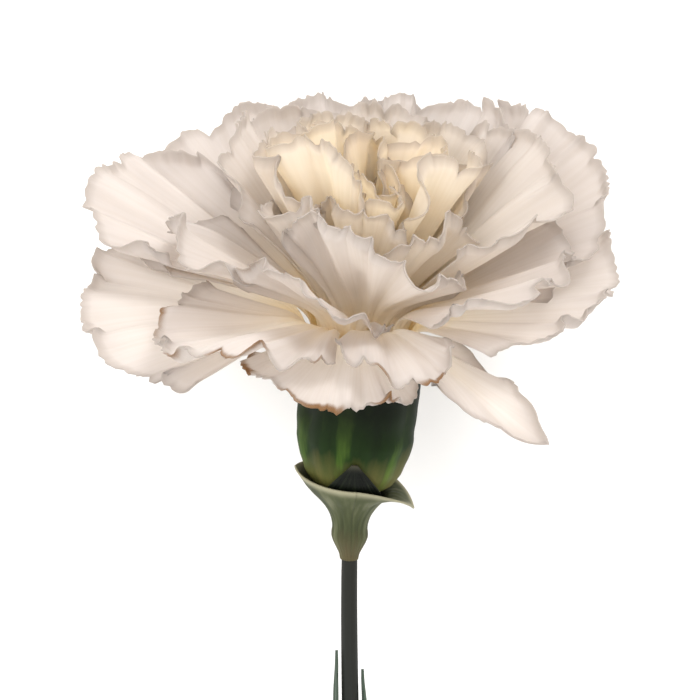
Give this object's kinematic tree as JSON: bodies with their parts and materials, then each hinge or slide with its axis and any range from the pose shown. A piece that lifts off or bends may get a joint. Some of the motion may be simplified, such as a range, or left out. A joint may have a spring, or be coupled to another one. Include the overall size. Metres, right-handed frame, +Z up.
{
  "type": "cut carnation",
  "caption": "Cut double carnation lying on its side: a frilled ivory bloom held in a ribbed, toothed green calyx with bracts, on a short jointed stem with slender leaves.",
  "frame": {"origin": "centre of the bounding box's base, on the surface that the flower lies on", "axes": "+Y along the flower from the cut end of its stem to the bloom, +Z up away from the surface, +X to the right seen from above with the bloom at the far end"},
  "size_m": [0.0774, 0.2062, 0.0542],
  "materials": {
    "petal": "soft matt ivory, thin enough to glow against the light, warmer and yellower towards the base",
    "calyx": "smooth waxy dark green with lighter ribs",
    "bract": "matt pale olive green with thin dry edges",
    "stem": "dark grey green under a waxy bloom",
    "leaf": "grey green under a waxy bloom",
    "pistil": "pale cream and slightly moist"
  },
  "bodies": {
    "root": {"petal_01": "petal", "petal_02": "petal", "petal_03": "petal", "petal_04": "petal", "petal_05": "petal", "petal_06": "petal", "petal_07": "petal", "petal_08": "petal", "petal_09": "petal", "petal_10": "petal", "petal_11": "petal", "petal_12": "petal", "petal_13": "petal", "petal_14": "petal", "petal_15": "petal", "petal_16": "petal", "petal_17": "petal", "petal_18": "petal", "petal_19": "petal", "petal_20": "petal", "petal_21": "petal", "petal_22": "petal", "petal_23": "petal", "petal_24": "petal", "petal_25": "petal", "petal_26": "petal", "petal_27": "petal", "petal_28": "petal", "petal_29": "petal", "petal_30": "petal", "petal_31": "petal", "petal_32": "petal", "petal_33": "petal", "petal_34": "petal", "petal_35": "petal", "petal_36": "petal", "calyx": "calyx", "bract_upper_front": "bract", "bract_upper_back": "bract", "bract_lower_left": "bract", "bract_lower_right": "bract", "stem": "stem", "leaf_upper_left": "leaf", "leaf_upper_right": "leaf", "leaf_lower_left": "leaf", "leaf_lower_right": "leaf", "ovary": "pistil", "style_left": "pistil", "style_right": "pistil"}
  },
  "joints": []
}
